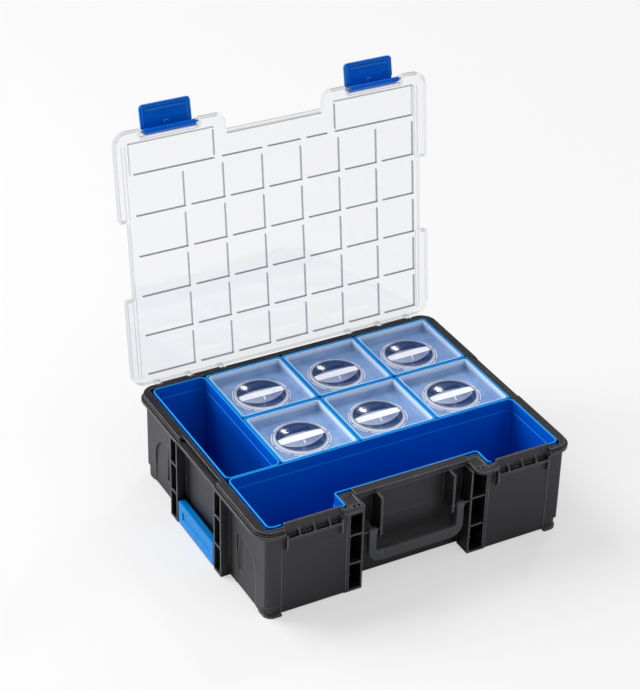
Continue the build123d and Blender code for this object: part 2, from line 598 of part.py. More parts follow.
def knob(x, y):
    floor = RING_TOP - DISH_DEEP
    grip = slab(grip_plan(), floor - 0.4, RING_TOP - 0.4)
    grip += span(-0.7, 0.7, -WEB_MID - 1.4, -WEB_MID + 1, floor - 0.4, RING_TOP - 1.4)
    grip &= Pos(0, 0, floor - 0.4 + DISH_BALL) * Sphere(DISH_BALL)
    return Pos(x, y, 0) * (knob_dish() + grip)


def retainer(x, y):
    ring = slab(Circle(RETAINER_R) - Circle(NECK_R), NECK_LOW, TRAY_Z - BOX_GAP)
    return Pos(x, y, 0) * ring


def box_centres():
    rows = ((MODULE * 2, "rear"), (0.0, "middle"))
    columns = ((COLUMN_X[0] + MODULE, "left"), (COLUMN_X[1] + MODULE, "centre"),
               (COLUMN_X[2] + MODULE, "right"))
    return [(f"{row}_{column}", x, y) for y, row in rows for x, column in columns]


def write(name, shape):
    export_step(shape, f"parts/{name}.step")


write("base_tub", base_tub())
write("lid_cover", open_lid(lid_cover()))
for side in ("left", "right"):
    write(f"hinge_pin_{side}", on_side(hinge_pin(), side))
    write(f"latch_{side}", open_latch(on_side(latch(), side)))
    write(f"latch_pin_{side}", open_lid(on_side(latch_pin(), side)))
    write(f"handle_pin_{side}", on_side(handle_pin(), side))
    write(f"side_clip_{side}", on_side(side_clip(), side))
    write(f"clip_pin_{side}", on_side(clip_pin(), side))
write("handle_bail", handle_bail())
write("handle_grip", handle_grip())
write("bin_left", bin_left())
write("bin_front", bin_front())
for place, x, y in box_centres():
    write(f"box_{place}", box_at(x, y))
    write(f"tray_{place}", tray_lid(x, y))
    write(f"knob_{place}", knob(x, y))
    write(f"retainer_{place}", retainer(x, y))
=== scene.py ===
import math

import bmesh
import bpy
import numpy as np
from mathutils import Matrix, Vector


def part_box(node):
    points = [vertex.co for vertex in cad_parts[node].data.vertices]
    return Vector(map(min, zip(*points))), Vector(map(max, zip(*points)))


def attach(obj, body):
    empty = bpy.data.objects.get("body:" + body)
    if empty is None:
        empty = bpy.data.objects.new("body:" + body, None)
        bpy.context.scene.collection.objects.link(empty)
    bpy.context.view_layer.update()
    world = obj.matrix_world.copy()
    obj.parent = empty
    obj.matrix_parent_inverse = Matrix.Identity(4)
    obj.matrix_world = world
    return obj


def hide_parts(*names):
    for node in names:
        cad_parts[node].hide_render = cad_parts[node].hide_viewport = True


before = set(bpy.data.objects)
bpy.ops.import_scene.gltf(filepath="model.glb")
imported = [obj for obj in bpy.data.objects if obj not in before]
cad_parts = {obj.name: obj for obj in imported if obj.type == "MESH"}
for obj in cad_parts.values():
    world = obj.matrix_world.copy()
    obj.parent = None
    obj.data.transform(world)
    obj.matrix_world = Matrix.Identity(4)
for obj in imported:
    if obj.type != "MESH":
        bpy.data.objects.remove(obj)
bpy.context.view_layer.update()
mm = 0.001
print("frame loaded, nodes:", len(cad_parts))


# unit vectors of an array of vectors
def unit(v):
    return v / np.maximum(np.linalg.norm(v, axis=-1, keepdims=True), 1e-12)


# a closed outline of corners (x, y, radius): every arc point is centre + reach * normal, where reach is
# +radius at an outer corner and -radius at an inner one, so an offset only adds to reach; where an offset
# is larger than the radius, the corner runs along its mitre (in + out normal) / (1 + cos turn) instead
def roundedOutline(corners, steps=6):
    c = np.array(corners, float)
    p, r = c[:, :2], c[:, 2:]
    way = unit(np.roll(p, -1, 0) - p)
    normalOut = np.stack([way[:, 1], -way[:, 0]], 1)
    normalIn = np.roll(normalOut, 1, 0)
    wayIn = np.roll(way, 1, 0)
    turn = np.arctan2(wayIn[:, 0] * way[:, 1] - wayIn[:, 1] * way[:, 0], (wayIn * way).sum(1))
    side = np.where(turn < 0, -1.0, 1.0)[:, None]
    mitre = (normalIn + normalOut) / (1 + (normalIn * normalOut).sum(1, keepdims=True))
    centre = p - side * r * mitre
    angle = np.arctan2(normalIn[:, 1], normalIn[:, 0])[:, None] + turn[:, None] * np.linspace(0, 1, steps)
    normals = np.stack([np.cos(angle), np.sin(angle)], -1)
    shape = normals.shape
    centres = np.broadcast_to(centre[:, None], shape).reshape(-1, 2)
    mitres = np.broadcast_to(mitre[:, None], shape).reshape(-1, 2)
    reach = np.broadcast_to((side * r)[:, None], shape[:2] + (1,)).reshape(-1, 1)
    return centres, reach, normals.reshape(-1, 2), mitres


# a rounded rectangle as an outline
def boxOutline(x0, x1, y0, y1, r, steps=6):
    return roundedOutline([(x0, y0, r), (x1, y0, r), (x1, y1, r), (x0, y1, r)], steps)


# an open polyline whose inner corners are arcs: centre + (sin((1-t)a) u + sin(ta) v) / sin a
def softLine(points, steps=5):
    c = np.array(points, float)
    p, r = c[:, :2], c[1:-1, 2:]
    a, b = unit(p[:-2] - p[1:-1]), unit(p[2:] - p[1:-1])
    half = np.arccos(np.clip((a * b).sum(1, keepdims=True), -1, 1)) / 2
    centre = p[1:-1] + unit(a + b) * r / np.sin(half)
    u, v = p[1:-1] + a * r / np.tan(half) - centre, p[1:-1] + b * r / np.tan(half) - centre
    angle = (math.pi - 2 * half)[:, None]
    t = np.linspace(0, 1, steps)[None, :, None]
    swung = np.sin((1 - t) * angle) * u[:, None] + np.sin(t * angle) * v[:, None]
    arcs = centre[:, None] + swung / np.sin(angle)
    return np.vstack([p[:1], arcs.reshape(-1, 2), p[-1:]])


# a profile of (offset, height) carried round an outline; axes says which of x, y, z the plan and height are
def carry(outline, profile, axes="xyz"):
    centres, reach, normals, mitres = outline
    profile = np.asarray(profile, float)
    moved = reach[None] + profile[:, None, :1]
    plan = centres[None] + moved * np.where(moved * reach[None] < 0, mitres[None], normals[None])
    height = np.broadcast_to(profile[:, None, 1:2], plan.shape[:2] + (1,))
    made = np.concatenate([plan, height], -1)
    return made[..., [axes.index(a) for a in "xyz"]]


# quads between neighbours of a grid; a closed direction joins its last row to its first
def gridFaces(rows, cols, closeRows=False, closeCols=True):
    a, b = np.meshgrid(np.arange(rows - (not closeRows)), np.arange(cols - (not closeCols)), indexing="ij")
    nextA, nextB = (a + 1) % rows, (b + 1) % cols
    corners = [a * cols + b, a * cols + nextB, nextA * cols + nextB, nextA * cols + b]
    return np.stack(corners, -1).reshape(-1, 4)


# one shell as (points, faces): the grid's quads, and its first and last rings as caps
def shell(grid, closeRows=False, caps=True):
    rows, cols = grid.shape[:2]
    faces = gridFaces(rows, cols, closeRows).tolist()
    if caps and not closeRows:
        faces.append(list(range(cols)))
        faces.append(list(range(rows * cols - cols, rows * cols)))
    return grid.reshape(-1, 3), faces


# several closed shells as one mesh object, given in millimetres: doubles merged, faces turned outwards, and
# edges sharper than the given angle kept hard
def makePiece(name, shells, material, body, replaced=(), sharp=32):
    mesh = bpy.data.meshes.new(name)
    points, faces, start = [], [], 0
    for shellPoints, shellFaces in shells:
        points.append(shellPoints)
        faces += [[i + start for i in f] for f in shellFaces]
        start += len(shellPoints)
    mesh.from_pydata(np.vstack(points) * mm, [], faces)
    bm = bmesh.new()
    bm.from_mesh(mesh)
    bmesh.ops.remove_doubles(bm, verts=bm.verts, dist=2e-6)
    bmesh.ops.dissolve_degenerate(bm, edges=bm.edges, dist=1e-6)
    bmesh.ops.recalc_face_normals(bm, faces=bm.faces)
    bm.to_mesh(mesh)
    bm.free()
    mesh.polygons.foreach_set("use_smooth", np.ones(len(mesh.polygons), bool))
    mesh.set_sharp_from_angle(angle=math.radians(sharp))
    piece = bpy.data.objects.new(name, mesh)
    bpy.context.scene.collection.objects.link(piece)
    weighted = piece.modifiers.new("faceNormals", "WEIGHTED_NORMAL")
    weighted.keep_sharp = True
    mesh.materials.append(material)
    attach(piece, body)
    if replaced:
        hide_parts(*replaced)
    return piece


# points turned about a line along X through (y, z): (dy, dz) becomes (dy cos - dz sin, dy sin + dz cos)
def turnX(points, y, z, degrees):
    a = math.radians(degrees)
    dy, dz = points[..., 1] - y, points[..., 2] - z
    return np.stack([points[..., 0], y + dy * math.cos(a) - dz * math.sin(a),
                     z + dy * math.sin(a) + dz * math.cos(a)], -1)


# points mirrored to the other half
def mirrored(points):
    return points * np.array([-1.0, 1.0, 1.0])


# straight bars from a to b, all at once: a rounded section [across, height] placed along each bar
def bars(starts, ends, width, low, high, radius=0.4):
    a, b = np.array(starts, float), np.array(ends, float)
    section = np.array([(-0.5, 0.0), (0.5, 0.0), (0.5, 1 - radius), (0.3, 0.93), (0.0, 1.0), (-0.3, 0.93),
                        (-0.5, 1 - radius)])
    along = unit(b - a)
    across = np.stack([-along[:, 1], along[:, 0]], 1)
    sideways = (section[:, 0] * width)[None, None, :, None] * across[:, None, None]
    plan = np.stack([a, b], 1)[:, :, None] + sideways
    height = np.broadcast_to((low + section[:, 1] * (high - low))[None, None, :, None], plan.shape[:3] + (1,))
    return [shell(bar) for bar in np.concatenate([plan, height], -1)]


# materials

# a principled material with its node helpers
def newMaterial(name):
    material = bpy.data.materials.new(name)
    material.use_nodes = True
    nodes, links = material.node_tree.nodes, material.node_tree.links
    return material, nodes, links, nodes["Principled BSDF"]


# noise on Object coordinates, in cells per metre
def noiseOf(nodes, links, scale, detail=3.0, roughness=0.5):
    place = nodes.new("ShaderNodeTexCoord")
    noise = nodes.new("ShaderNodeTexNoise")
    noise.inputs["Scale"].default_value = scale
    noise.inputs["Detail"].default_value = detail
    noise.inputs["Roughness"].default_value = roughness
    links.new(place.outputs["Object"], noise.inputs["Vector"])
    return noise.outputs["Fac"]


# a value that runs from fromLow to fromHigh, mapped to low..high and kept between them
def mapped(nodes, links, value, low, high, fromLow=0.3, fromHigh=0.7):
    node = nodes.new("ShaderNodeMapRange")
    node.inputs["From Min"].default_value = fromLow
    node.inputs["From Max"].default_value = fromHigh
    node.inputs["To Min"].default_value = low
    node.inputs["To Max"].default_value = high
    links.new(value, node.inputs["Value"])
    return node.outputs["Result"]


# two colours mixed by a value; each is a fixed colour or comes from another node
def blended(nodes, links, value, first, second):
    mix = nodes.new("ShaderNodeMix")
    mix.data_type = "RGBA"
    links.new(value, mix.inputs["Factor"])
    for side, colour in (("A", first), ("B", second)):
        if isinstance(colour, tuple):
            mix.inputs[side].default_value = (*colour, 1)
        else:
            links.new(colour, mix.inputs[side])
    return mix.outputs["Result"]


# bump from a height, over a normal where one is given
def bumped(nodes, links, height, strength, depth, normal=None):
    bump = nodes.new("ShaderNodeBump")
    bump.inputs["Strength"].default_value = strength
    bump.inputs["Distance"].default_value = depth
    links.new(height, bump.inputs["Height"])
    if normal is not None:
        links.new(normal, bump.inputs["Normal"])
    return bump.outputs["Normal"]


# light that reaches a point from close by: 1 in the open, towards 0 deep in a pocket
def openness(nodes, links, reach):
    node = nodes.new("ShaderNodeAmbientOcclusion")
    node.samples = 6
    node.inputs["Distance"].default_value = reach
    return node.outputs["AO"]


# how far a corner's rounded normal leans away from the face's own: 0 on a flat, 1 where their product is 0.75
def edgeMask(nodes, links, radius):
    bevel = nodes.new("ShaderNodeBevel")
    bevel.samples = 4
    bevel.inputs["Radius"].default_value = radius
    geometry = nodes.new("ShaderNodeNewGeometry")
    dot = nodes.new("ShaderNodeVectorMath")
    dot.operation = "DOT_PRODUCT"
    links.new(bevel.outputs["Normal"], dot.inputs[0])
    links.new(geometry.outputs["Normal"], dot.inputs[1])
    return bevel.outputs["Normal"], mapped(nodes, links, dot.outputs["Value"], 1, 0, 0.75, 0.995)


# share that grows from 0 at the low height to 1 at the high one, in millimetres of the object's own Z
def heightShare(nodes, links, low, high):
    place = nodes.new("ShaderNodeTexCoord")
    split = nodes.new("ShaderNodeSeparateXYZ")
    links.new(place.outputs["Object"], split.inputs["Vector"])
    return mapped(nodes, links, split.outputs["Z"], 0, 1, low * mm, high * mm)


# product of two values
def product(nodes, links, first, second):
    node = nodes.new("ShaderNodeMath")
    node.operation = "MULTIPLY"
    links.new(first, node.inputs[0])
    links.new(second, node.inputs[1])
    return node.outputs["Value"]


# larger of two values
def larger(nodes, links, first, second):
    node = nodes.new("ShaderNodeMath")
    node.operation = "MAXIMUM"
    links.new(first, node.inputs[0])
    links.new(second, node.inputs[1])
    return node.outputs["Value"]


# how deep the grain is, and the openness over which the painted pocket shade darkens and the painted edge
# highlights fade in
grainDepth = 0.0002
pocketShadeRange, edgeHighlightRange = (0.15, 0.8), (0.25, 0.55)


# moulded plastic: two tones in soft clouds, painted shade that darkens pockets, painted highlights that pale
# the edges, a fine grain, and rounded-edge normals
def mouldedPlastic(name, look):
    material, nodes, links, surface = newMaterial(name)
    clouds = noiseOf(nodes, links, look["cloudScale"])
    grain = noiseOf(nodes, links, look["grainScale"], 2.0, 0.6)
    colour = blended(nodes, links, mapped(nodes, links, clouds, 0, 1), look["dark"], look["light"])
    normal, edge = edgeMask(nodes, links, look["edgeRadius"] * mm)
    near = openness(nodes, links, look["pocketReach"] * mm)
    # painted shade: pockets darken towards black where little light reaches them
    pocketShade = mapped(nodes, links, near, look["pocketShadeStrength"], 0, *pocketShadeRange)
    # painted highlight: rounded edges turn towards the pale edge colour, less so in pockets
    edgeHighlight = product(nodes, links, mapped(nodes, links, edge, 0, look["edgeHighlightShare"], 0, 1),
                     mapped(nodes, links, near, 0, 1, *edgeHighlightRange))
    # painted highlight on boxes: the edge highlights fade lower down the walls, and the rim's top takes a
    # share of the edge colour
    if "brimHighlight" in look:
        fadedEdgeHighlight = product(nodes, links, edgeHighlight, heightShare(nodes, links, *look["faintBelow"]))
        rim = mapped(nodes, links, heightShare(nodes, links, *look["brimHighlight"]), 0, look["brimHighlightShare"], 0, 1)
        edgeHighlight = larger(nodes, links, fadedEdgeHighlight, rim)
    shaded = blended(nodes, links, pocketShade, colour, (0, 0, 0))
    links.new(blended(nodes, links, edgeHighlight, shaded, look["edge"]), surface.inputs["Base Color"])
    links.new(mapped(nodes, links, clouds, *look["roughness"]), surface.inputs["Roughness"])
    links.new(bumped(nodes, links, grain, look["grain"], grainDepth, normal), surface.inputs["Normal"])
    surface.inputs["IOR"].default_value = look["ior"]
    surface.inputs["Specular Tint"].default_value = (*look["shineTint"], 1)
    return material


# in these looks the edge colour is a painted highlight on rounded edges, and the pocket darkening is painted
# shade
caseLook = {"dark": (0.0142, 0.0128, 0.0148), "light": (0.0212, 0.0195, 0.0222), "edge": (0.62, 0.60, 0.62),
            "edgeHighlightShare": 0.9, "edgeRadius": 0.8, "cloudScale": 22.0, "grainScale": 1500.0, "grain": 0.35,
            "roughness": (0.40, 0.52), "pocketReach": 26.0, "pocketShadeStrength": 0.95, "ior": 1.5,
            "shineTint": (1, 1, 1)}
handleLook = dict(caseLook, dark=(0.035, 0.037, 0.040), light=(0.048, 0.050, 0.054), roughness=(0.36, 0.44),
                  grain=0.2, pocketShadeStrength=0.4, pocketReach=14.0, edge=(0.4, 0.4, 0.42))
gripLook = dict(caseLook, dark=(0.036, 0.036, 0.039), light=(0.048, 0.048, 0.052), roughness=(0.5, 0.6),
                grainScale=700.0, grain=0.7, pocketShadeStrength=0.3, pocketReach=14.0, edge=(0.4, 0.4, 0.42))
binLook = {"dark": (0.0, 0.082, 0.50), "light": (0.0, 0.098, 0.57), "edge": (0.02, 0.44, 0.90),
           "edgeHighlightShare": 0.95, "edgeRadius": 1.1, "cloudScale": 9.0, "grainScale": 1800.0, "grain": 0.12,
           "roughness": (0.3, 0.4), "pocketReach": 30.0, "pocketShadeStrength": 0.35, "ior": 1.4,
           "shineTint": (0.05, 0.5, 1.0)}
# the brim band is a painted highlight on the rims' tops, and below the faint band the painted edge highlights
# fade
boxLook = dict(binLook, brimHighlight=(127.9, 128.9), brimHighlightShare=0.6, faintBelow=(90.0, 125.0))
latchLook = dict(binLook, dark=(0.0, 0.085, 0.53), light=(0.0, 0.10, 0.60), edge=(0.10, 0.52, 1.0),
                 roughness=(0.3, 0.4), edgeHighlightShare=1.0, edgeRadius=1.4, pocketReach=5.0, ior=1.45)
clipLook = dict(binLook, dark=(0.0, 0.15, 0.45), light=(0.0, 0.17, 0.50), edge=(0.04, 0.42, 0.85),
                edgeHighlightShare=0.5, pocketReach=5.0, ior=1.4, shineTint=(0.12, 0.7, 1.0))

casePlastic = mouldedPlastic("casePlastic", caseLook)
handlePlastic = mouldedPlastic("handlePlastic", handleLook)
gripRubber = mouldedPlastic("gripRubber", gripLook)
binPlastic = mouldedPlastic("binPlastic", boxLook)
latchPlastic = mouldedPlastic("latchPlastic", latchLook)
clipPlastic = mouldedPlastic("clipPlastic", clipLook)


pinLook = {"dark": (0.16, 0.16, 0.17), "light": (0.26, 0.26, 0.28), "grainScale": 900.0, "detail": 4.0,
           "roughness": (0.22, 0.4)}


# pin wire: a grey metal whose colour and roughness change in a fine grain
def pinMetal():
    look = pinLook
    material, nodes, links, surface = newMaterial("pinMetal")
    grain = noiseOf(nodes, links, look["grainScale"], look["detail"])
    links.new(blended(nodes, links, mapped(nodes, links, grain, 0, 1), look["dark"], look["light"]),
              surface.inputs["Base Color"])
    links.new(mapped(nodes, links, grain, *look["roughness"]), surface.inputs["Roughness"])
    surface.inputs["Metallic"].default_value = 1.0
    return material


# clear plastic: what is behind shows, a little darker where the surface turns away, a painted shade that
# stands in for the dark the plastic refracts there, with a clean gloss on top whose share is low + (1 - low)
# (1 - cos)^5, the same from both sides
def clearPlastic(name, look):
    material, nodes, links, surface = newMaterial(name)
    nodes.remove(surface)
    turn = nodes.new("ShaderNodeLayerWeight")
    turn.inputs["Blend"].default_value = look["turnBlend"]
    waves = noiseOf(nodes, links, look["waveScale"], 2.0)
    through = nodes.new("ShaderNodeBsdfTransparent")
    colour = blended(nodes, links, mapped(nodes, links, turn.outputs["Facing"], 0, 1, look["turnFrom"], 1.0),
                     look["clear"], look["turned"])
    links.new(colour, through.inputs["Color"])
    gloss = nodes.new("ShaderNodeBsdfGlossy")
    gloss.inputs["Color"].default_value = (1, 1, 1, 1)
    links.new(mapped(nodes, links, waves, *look["roughness"]), gloss.inputs["Roughness"])
    power = nodes.new("ShaderNodeMath")
    power.operation = "POWER"
    links.new(turn.outputs["Facing"], power.inputs[0])
    power.inputs[1].default_value = look["shinePower"]
    shine = mapped(nodes, links, power.outputs["Value"], look["shine"], 1, 0, 1)
    links.new(bumped(nodes, links, waves, look["wave"], look["waveDepth"]), gloss.inputs["Normal"])
    mix = nodes.new("ShaderNodeMixShader")
    links.new(shine, mix.inputs[0])
    links.new(through.outputs["BSDF"], mix.inputs[1])
    links.new(gloss.outputs["BSDF"], mix.inputs[2])
    links.new(mix.outputs["Shader"], nodes["Material Output"].inputs["Surface"])
    return material


# the turned colours, and the ribs' dimmer clear colour, are painted shade for the dark that the clear plastic
# refracts at its edges and ribs
lidLook = {"clear": (0.965, 0.968, 0.972), "turned": (0.42, 0.43, 0.45), "turnFrom": 0.45, "turnBlend": 0.5,
           "waveScale": 30.0, "wave": 0.08, "waveDepth": 0.0004, "roughness": (0.02, 0.08), "shine": 0.035,
           "shinePower": 5.0}
ribLook = dict(lidLook, clear=(0.69, 0.70, 0.74), turned=(0.40, 0.41, 0.46), turnFrom=0.2)
flangeLook = dict(lidLook, clear=(0.90, 0.90, 0.91), turned=(0.55, 0.56, 0.58), turnFrom=0.3)
lidClear = clearPlastic("lidClear", lidLook)
ribClear = clearPlastic("ribClear", ribLook)
flangeClear = clearPlastic("flangeClear", flangeLook)


# shares from the face's own direction in the object's frame: upward faces give 0 and slopes 1, faces to -X
# give 0 and faces to +X give 1
def slopeShares(nodes, links):
    place = nodes.new("ShaderNodeTexCoord")
    split = nodes.new("ShaderNodeSeparateXYZ")
    links.new(place.outputs["Normal"], split.inputs["Vector"])
    slope = mapped(nodes, links, split.outputs["Z"], 1, 0, 0.90, 0.985)
    return slope, mapped(nodes, links, split.outputs["X"], 0, 1, -0.06, 0.06)


# frosted plastic: part of the light goes straight through, the rest scatters off a pale satin body; painted
# highlights pale its edges, which let less through, and where asked its walls towards their top and its brim;
# painted light and shade can colour its slopes by the way they face
def frostedPlastic(name, look):
    material, nodes, links, surface = newMaterial(name)
    clouds = noiseOf(nodes, links, look["cloudScale"])
    grain = noiseOf(nodes, links, look["grainScale"], 2.0)
    colour = blended(nodes, links, mapped(nodes, links, clouds, 0, 1), look["dark"], look["light"])
    # painted highlight: rounded edges pale towards the edge colour
    corner = edgeMask(nodes, links, look["edgeRadius"] * mm)[1]
    edge = mapped(nodes, links, corner, 0, look["edgeHighlightShare"], 0, 1)
    # painted light and shade on the web: slopes take the first slopes colour where they face -X, the lit side,
    # and the second where they face +X, the shaded side
    if "slopes" in look:
        slope, right = slopeShares(nodes, links)
        colour = blended(nodes, links, slope, colour, blended(nodes, links, right, *look["slopes"]))
    # painted light and shade: the walls pale towards the edge colour as they rise and stay darker lower down,
    # and the brim takes the edge colour whole as a painted highlight
    if "wall" in look:
        wall = mapped(nodes, links, heightShare(nodes, links, *look["wall"]), 0, look["wallHighlightShare"], 0, 1)
        brimHighlight = heightShare(nodes, links, *look["brimHighlight"])
        edge = larger(nodes, links, larger(nodes, links, edge, wall), brimHighlight)
    links.new(blended(nodes, links, edge, colour, look["edge"]), surface.inputs["Base Color"])
    links.new(mapped(nodes, links, clouds, *look["roughness"]), surface.inputs["Roughness"])
    body = mapped(nodes, links, clouds, *look["alpha"])
    if "slopes" in look:
        body = larger(nodes, links, body, slope)
    links.new(larger(nodes, links, body, edge), surface.inputs["Alpha"])
    links.new(bumped(nodes, links, grain, look["grain"], grainDepth), surface.inputs["Normal"])
    surface.inputs["IOR"].default_value = look["ior"]
    return material


# in these looks the edge colour is a painted highlight on rounded edges; on the trays it also pales the walls
# towards their top and takes the brim whole
trayLook = {"dark": (0.30, 0.52, 0.92), "light": (0.43, 0.63, 0.97), "edge": (0.60, 0.74, 0.92),
            "edgeHighlightShare": 0.5, "edgeRadius": 0.8, "cloudScale": 26.0, "grainScale": 1600.0, "grain": 0.25,
            "roughness": (0.24, 0.38), "alpha": (0.44, 0.58), "wall": (115.6, 125.0), "wallHighlightShare": 0.92,
            "brimHighlight": (127.6, 128.3), "ior": 1.49}
# painted shade: the dish's dark navy body stands in for the shaded box interior that shows through the clear
# dish
dishLook = {"dark": (0.018, 0.045, 0.15), "light": (0.028, 0.065, 0.20), "edge": (0.3, 0.34, 0.45),
            "edgeHighlightShare": 0.2, "edgeRadius": 0.6, "cloudScale": 20.0, "grainScale": 400.0, "grain": 0.02,
            "roughness": (0.14, 0.17), "alpha": (0.62, 0.70), "ior": 1.8}
ringLook = {"dark": (0.70, 0.76, 0.88), "light": (0.82, 0.86, 0.95), "edge": (0.97, 0.98, 1.0),
            "edgeHighlightShare": 1.0, "edgeRadius": 0.7, "cloudScale": 40.0, "grainScale": 1500.0, "grain": 0.1,
            "roughness": (0.12, 0.2), "alpha": (0.42, 0.55),
            "slopes": ((0.92, 0.94, 0.98), (0.92, 0.94, 0.98)), "ior": 1.49}
markLook = dict(ringLook, dark=(0.80, 0.84, 0.92), light=(0.92, 0.94, 0.98), alpha=(0.75, 1.0),
                cloudScale=160.0)
# the web's slopes are painted light, pale blue, where they face -X, and painted shade, dark navy, where they
# face +X
webLook = {"dark": (0.86, 0.89, 0.93), "light": (0.95, 0.96, 0.98), "edge": (0.95, 0.96, 0.98),
           "edgeHighlightShare": 0.3, "edgeRadius": 0.6, "cloudScale": 60.0, "grainScale": 1500.0, "grain": 0.2,
           "roughness": (0.2, 0.3), "alpha": (0.96, 1.0),
           "slopes": ((0.46, 0.55, 0.78), (0.04, 0.09, 0.30)), "ior": 1.49}
trayFrosted = frostedPlastic("trayFrosted", trayLook)
dishClear = frostedPlastic("dishClear", dishLook)
ringFrosted = frostedPlastic("ringFrosted", ringLook)
markFrosted = frostedPlastic("markFrosted", markLook)
webFrosted = frostedPlastic("webFrosted", webLook)
retainerFrosted = frostedPlastic("retainerFrosted", ringLook)
steel = pinMetal()
print("materials made")


# bins and boxes
binSizes = {"floor": 5.0, "rim": 129.0, "wall": 2.0, "ledgeTop": 113.4, "ledge": 1.0, "floorThick": 2.0,
            "lip": 0.75, "outerFoot": 3.0, "innerFoot": 3.0, "corner": 8.0, "module": 54.5, "blockX": 200.7,
            "recessX": 98.0, "recessDepth": 27.0, "gap": 0.2, "leftWide": 74.0, "dip": 4.5,
            "dipX": (103.0, 183.0), "dipEnd": 0.8}


# the wall's section: up the outside, over a rounded rim, down past a shallow ledge and into the floor
def binProfile(wall):
    s = binSizes
    inner, ledgeTop = -wall - s["ledge"], s["ledgeTop"]
    return softLine([(-9, s["floor"], 0), (0, s["floor"], s["outerFoot"]), (0, s["rim"], s["lip"]),
                     (-wall, s["rim"], s["lip"]), (-wall, ledgeTop, 0.3), (inner, ledgeTop - 0.6, 0.25),
                     (inner - 0.6, s["floor"] + s["floorThick"], s["innerFoot"]),
                     (inner - 9, s["floor"] + s["floorThick"], 0)])


# the front bin's rim dips under the latches, by dip * share, where share grows from 0 to 1 over dipEnd
def makeBins():
    s = binSizes
    step = s["module"]
    left = boxOutline(-s["blockX"], -s["blockX"] + s["leftWide"], -step + 2 * s["gap"], 3 * step, s["corner"])
    makePiece("leftBin", [shell(carry(left, binProfile(s["wall"])))], binPlastic,
              "bin_left_body", ["bin_left"], 40)
    y0, back = -3 * step, -3 * step + s["recessDepth"]
    near, far = s["dipX"]
    dips = [(x, y0, 0) for x in (near - s["dipEnd"], near, far, far + s["dipEnd"])]
    right = [(s["recessX"], back, 2), (s["recessX"], y0, 4)] + dips
    right += [(s["blockX"], y0, s["corner"]), (s["blockX"], -step, s["corner"])]
    front = roundedOutline([(-x, y, r) for x, y, r in reversed(right)] + right)
    grid = carry(front, binProfile(s["wall"]))
    x, high = abs(grid[..., 0]), (grid[..., 1] < y0 + 5) & (grid[..., 2] > s["rim"] - 2)
    share = np.clip(np.minimum(x - near, far - x) / s["dipEnd"] + 1, 0, 1)
    grid[..., 2] -= np.where(high, s["dip"] * share, 0)
    makePiece("frontBin", [shell(grid)], binPlastic, "bin_front_body", ["bin_front"], 40)


makeBins()


# boxes, trays and knobs, one set at each place of the grid
boxSizes = {"rows": (("rear", 109.0), ("middle", 0.0)),
            "columns": (("left", -71.8), ("centre", 37.2), ("right", 146.2)), "gap": 0.6, "wall": 2.6,
            "corner": 3.4}
traySizes = {"low": 113.4, "floor": 115.2, "top": 128.4, "wall": 1.4, "draft": 1.2, "gap": 0.2, "hole": 30.3,
             "foot": 2.0, "corner": 3.6, "markR": 37.0, "marks": 8, "markGap": 2.0}
knobSizes = {"top": 118.2, "low": 115.3, "ring": 33.9, "skirt": 35.2, "neck": 30.0, "neckIn": 28.2,
             "neckLow": 111.2, "dish": 31.6, "depth": 5.3, "webEnd": 5.2, "webMiddle": 6.4, "webFoot": 9.0,
             "crown": 0.35}


# rings that pass from a rounded square to a circle about the same middle, by direction from it
def ringToCircle(ring, radius, z):
    way = unit(ring[:, :2])
    return np.concatenate([way * radius, np.full((len(ring), 1), z)], 1)


# the tray: a section up its outside, over its brim and down its draft, then rings that run in to the round
# hole above and out again below
def trayShell():
    s, half = traySizes, binSizes["module"] - boxSizes["gap"] - boxSizes["wall"] - traySizes["gap"]
    outline = boxOutline(-half, half, -half, half, s["corner"], 8)
    section = softLine([(-4, s["low"], 0), (0, s["low"], 1.0), (0, s["top"], 0.6),
                        (-s["wall"], s["top"], 0.6), (-s["wall"] - s["draft"], s["floor"], s["foot"]),
                        (-9, s["floor"], 0)])
    grid = carry(outline, section)
    rings = [ringToCircle(grid[-1], r, s["floor"]) for r in (40.0, s["hole"])]
    rings += [ringToCircle(grid[0], r, s["low"]) for r in (s["hole"], 40.0)]
    return shell(np.concatenate([grid, np.stack(rings)]), closeRows=True)


# a profile (radius, z) turned about the middle, one ring of points per profile point
def revolve(profile, steps=72):
    a = np.linspace(0, 2 * math.pi, steps, endpoint=False)
    p = np.asarray(profile, float)
    return np.stack([p[:, None, 0] * np.cos(a), p[:, None, 0] * np.sin(a),
                     np.broadcast_to(p[:, None, 1], (len(p), steps))], -1)


# raised marks round the knob: arcs of a small rounded section, broken at each eighth of a turn
def dialMarks():
    s = traySizes
    section = np.array([(-0.6, -0.3), (0.6, -0.3), (0.6, 0.35), (0.3, 0.6), (-0.3, 0.6), (-0.6, 0.35)])
    step, gap = 2 * math.pi / s["marks"], s["markGap"] / s["markR"]
    made = []
    for n in range(s["marks"]):
        a = np.linspace(n * step + gap, (n + 1) * step - gap, 12)[:, None]
        r = s["markR"] + section[None, :, 0]
        made.append(shell(np.stack([r * np.cos(a), r * np.sin(a),
                                    np.broadcast_to(s["floor"] + section[None, :, 1], (12, 6))], -1)))
    return made


# the dish is part of a ball: z = floor + R - sqrt(R^2 - r^2), with R from its radius and depth
def dishZ(r):
    s = knobSizes
    ball = (s["dish"] ** 2 + s["depth"] ** 2) / (2 * s["depth"])
    return s["top"] - s["depth"] + ball - np.sqrt(ball ** 2 - np.minimum(r, s["dish"] + 2) ** 2)


